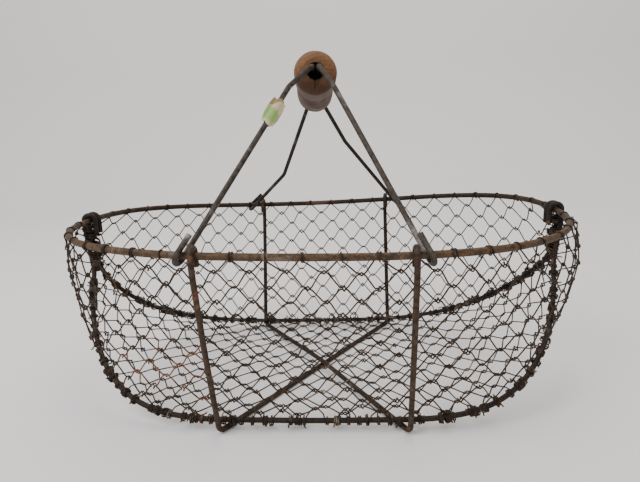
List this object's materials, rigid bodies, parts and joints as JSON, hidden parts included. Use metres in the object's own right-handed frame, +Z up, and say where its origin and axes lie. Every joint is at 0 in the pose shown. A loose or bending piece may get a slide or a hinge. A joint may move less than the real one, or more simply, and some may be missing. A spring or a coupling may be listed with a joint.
{
  "type": "wire basket",
  "caption": "Oval harvest basket of hexagonal wire netting on a bent wire frame, with a two-wire bail handle and a turned wooden grip that spins.",
  "frame": {"origin": "on the surface the basket stands on, below the middle of the oval rim", "axes": "+X along the basket's length, +Y across it from front to rear, +Z up"},
  "size_m": [0.4625, 0.3086, 0.3009],
  "materials": {
    "frame_wire": "matte",
    "bail_wire": "satin",
    "netting": "matte",
    "grip_wood": "satin",
    "label_paper": "matte"
  },
  "bodies": {
    "basket": {"rim": "frame_wire", "front_chine": "frame_wire", "rear_chine": "frame_wire", "left_front_hoop": "frame_wire", "right_front_hoop": "frame_wire", "left_bail": "bail_wire", "right_bail": "bail_wire", "label": "label_paper", "front_net": "netting", "rear_net": "netting", "bottom_net": "netting"},
    "handle_grip": {"grip": "grip_wood"}
  },
  "joints": [
    {"name": "grip_spin", "type": "hinge", "parent": "basket", "child": "handle_grip", "pos_m": [0.0032, 0, 0.2784], "axis": [-0.0713, 0.9941, -0.0819], "continuous": true}
  ]
}
